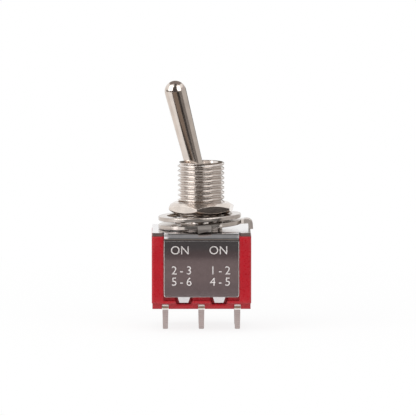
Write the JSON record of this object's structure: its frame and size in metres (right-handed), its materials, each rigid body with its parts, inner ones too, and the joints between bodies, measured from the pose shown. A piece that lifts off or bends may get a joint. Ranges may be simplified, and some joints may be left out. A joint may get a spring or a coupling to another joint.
{
  "type": "panel toggle switch",
  "caption": "Double-pole panel toggle switch: bat lever in a threaded bushing, red moulded case in a folded steel frame, straight pins below.",
  "frame": {"origin": "on the bushing's axis, at the nut's outer face, where a panel seats", "axes": "+Z out along the bushing towards the lever; X is the lever's throw, with -X the side it leans to at rest; the stamped face of the frame is -Y"},
  "size_m": [0.0133, 0.0122, 0.0325],
  "materials": {
    "frame_steel": "zinc-plated sheet, satin",
    "nickel": "bright nickel plate",
    "bright_steel": "bright plated spring steel",
    "red_moulding": "moulded, semi-gloss",
    "pin_steel": "ground",
    "spring_steel": "drawn wire",
    "nylon": "moulded, matte",
    "epoxy": "cured resin",
    "terminal_plating": "tin-plated brass",
    "contact_silver": "silver, bright",
    "rocker_brass": "stamped, bright"
  },
  "bodies": {
    "body": {"frame": "frame_steel", "bushing": "nickel", "locating_ring": "bright_steel", "lock_washer": "bright_steel", "hex_nut": "nickel", "case": "red_moulding", "terminal_front_common": "terminal_plating", "terminal_front_left": "terminal_plating", "contact_front_left": "contact_silver", "terminal_front_right": "terminal_plating", "contact_front_right": "contact_silver", "terminal_rear_common": "terminal_plating", "terminal_rear_left": "terminal_plating", "contact_rear_left": "contact_silver", "terminal_rear_right": "terminal_plating", "contact_rear_right": "contact_silver", "terminal_seals": "epoxy"},
    "lever": {"lever": "nickel", "pivot_pin": "pin_steel", "lever_spring": "spring_steel"},
    "actuator": {"actuator": "nylon"},
    "rocker_front": {"rocker_front": "rocker_brass"},
    "rocker_rear": {"rocker_rear": "rocker_brass"}
  },
  "joints": [
    {"name": "lever_tilt", "type": "hinge", "parent": "body", "child": "lever", "pos_m": [0, 0, 0.0012], "axis": [0, 1, 0], "range_deg": [0, 28.4]},
    {"name": "actuator_slide", "type": "slide", "parent": "lever", "child": "actuator", "axis": [-0.2453, 0, 0.9694], "range_m": [0, 0.00035], "stiffness_N_per_m": 250, "springref_m": -0.002, "deforming": ["lever_spring"]},
    {"name": "rocker_front_tilt", "type": "hinge", "parent": "body", "child": "rocker_front", "pos_m": [0, -0.0024, -0.00915], "axis": [0, 1, 0], "range_deg": [-14, 0]},
    {"name": "rocker_rear_tilt", "type": "hinge", "parent": "body", "child": "rocker_rear", "pos_m": [0, 0.0024, -0.00915], "axis": [0, 1, 0], "range_deg": [-14, 0]}
  ],
  "couplings": [
    {"joint": "rocker_front_tilt", "follows": "lever_tilt", "ratio": -0.49296},
    {"joint": "rocker_rear_tilt", "follows": "lever_tilt", "ratio": -0.49296}
  ]
}
